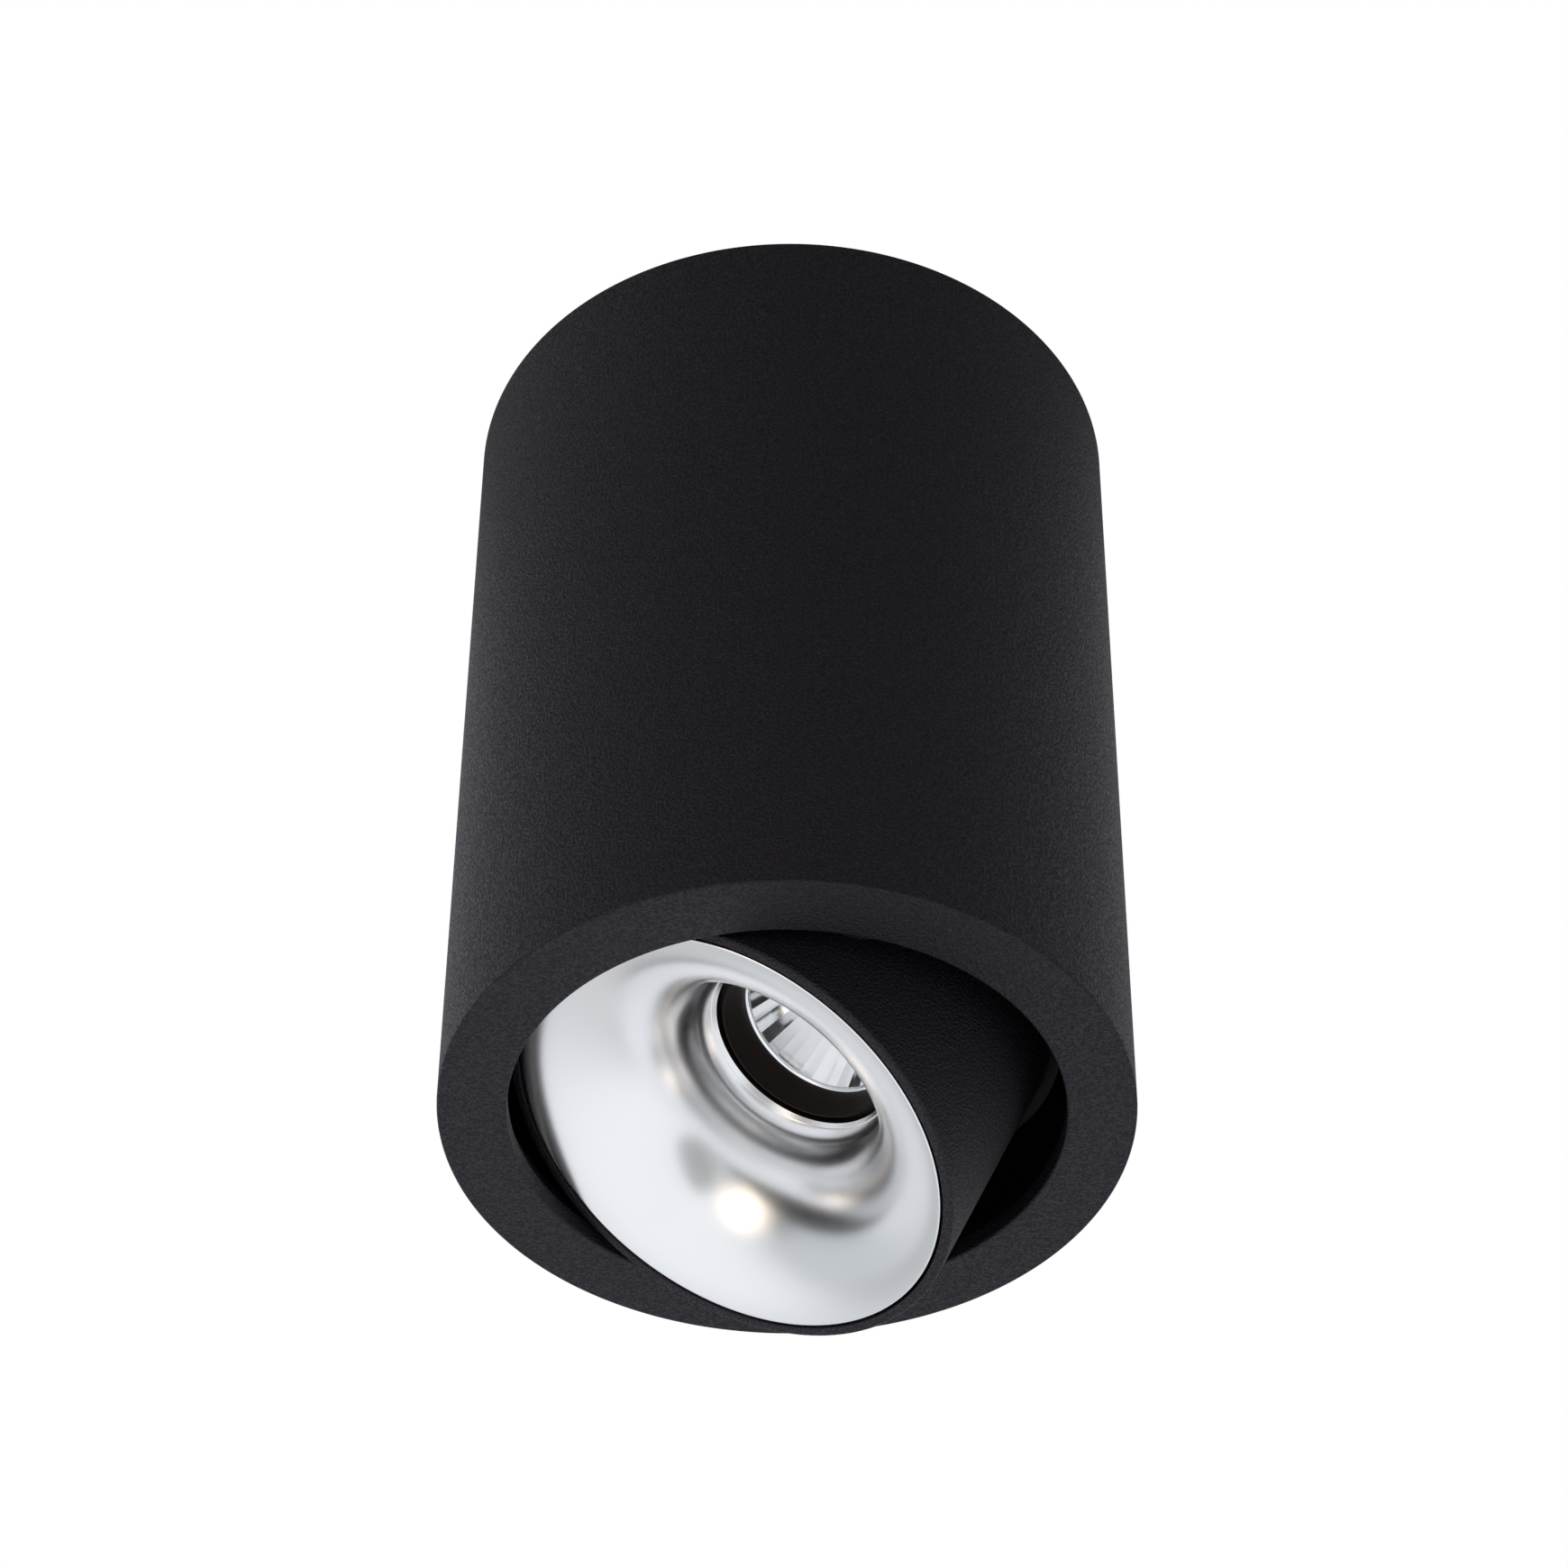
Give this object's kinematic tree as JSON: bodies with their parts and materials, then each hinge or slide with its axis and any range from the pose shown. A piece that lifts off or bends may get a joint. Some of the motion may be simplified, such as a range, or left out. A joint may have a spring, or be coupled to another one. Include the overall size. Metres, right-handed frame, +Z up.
{
  "type": "surface mounted light",
  "caption": "Black cylindrical ceiling light whose spot head, with a satin bell reflector and a faceted optic, turns and tilts in the cylinder's mouth.",
  "frame": {"origin": "centre of the face that lies against the ceiling, between the two fixing slots", "axes": "+Z up into the ceiling along the cylinder's axis, +X along the row of fixing slots, +Y away from the driver"},
  "size_m": [0.1, 0.1, 0.1573],
  "materials": {
    "black_powder_coat": "matte",
    "black_anodised": "satin",
    "black_steel": "satin",
    "satin_aluminium": "satin",
    "mirror_facets": "polished",
    "black_plastic": "matte",
    "white_plastic": "matte",
    "nylon": "satin",
    "zinc_steel": "satin",
    "spring_steel": "satin",
    "black_rubber": "matte",
    "grey_pad": "matte",
    "light_board": "satin",
    "yellow_phosphor": "satin",
    "brass": "satin"
  },
  "bodies": {
    "body": {"housing": "black_powder_coat", "glide_ring": "nylon", "snap_ring": "spring_steel", "ceiling_plate": "zinc_steel", "set_screws": "zinc_steel", "cable_bush": "black_rubber", "driver_case": "white_plastic", "driver_lid": "white_plastic", "driver_screws": "zinc_steel", "terminal_block": "nylon", "terminal_screws": "brass"},
    "turntable": {"turntable": "black_steel", "friction_washers": "nylon"},
    "head": {"head_shell": "black_powder_coat", "reflector": "satin_aluminium", "baffle_ring": "black_plastic", "faceted_optic": "mirror_facets", "led_holder": "white_plastic", "led_board": "light_board", "led_emitter": "yellow_phosphor", "thermal_pad": "grey_pad", "heat_sink": "black_anodised", "lead_bush": "black_rubber", "holder_screws": "zinc_steel", "sink_screws": "zinc_steel", "pivot_screws": "zinc_steel", "spring_washers": "spring_steel", "tilt_stop_pins": "zinc_steel"}
  },
  "joints": [
    {"name": "head_turn", "type": "hinge", "parent": "body", "child": "turntable", "pos_m": [0, 0, -0.124], "axis": [0, 0, 1], "range_deg": [-175, 175]},
    {"name": "head_tilt", "type": "hinge", "parent": "turntable", "child": "head", "pos_m": [0, 0, -0.124], "axis": [-0.2588, 0.9659, 0], "range_deg": [-29.4, 0.6]}
  ]
}
